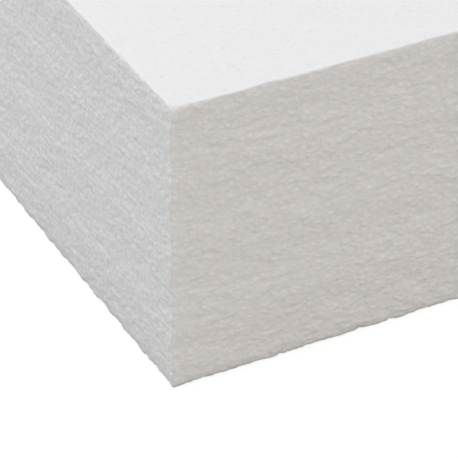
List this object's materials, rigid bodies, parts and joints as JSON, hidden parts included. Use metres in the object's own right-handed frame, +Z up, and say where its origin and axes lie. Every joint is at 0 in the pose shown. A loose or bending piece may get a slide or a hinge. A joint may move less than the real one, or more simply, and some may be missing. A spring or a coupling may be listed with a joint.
{
  "type": "foam insulation board",
  "caption": "Thick rectangular slab of white expanded polystyrene bead foam with flat faces and hot-wire-cut edges, used as thermal insulation board.",
  "frame": {"origin": "middle of the board's underside", "axes": "+X along the board's length, +Y across its width, +Z up through its thickness from the underside to the top face; the chipped upright corner of the picture is at -X, -Y"},
  "size_m": [1, 0.5, 0.1],
  "materials": {
    "foam": "matt white expanded polystyrene, faint bead pattern"
  },
  "bodies": {
    "root": {"board": "foam"}
  },
  "joints": []
}
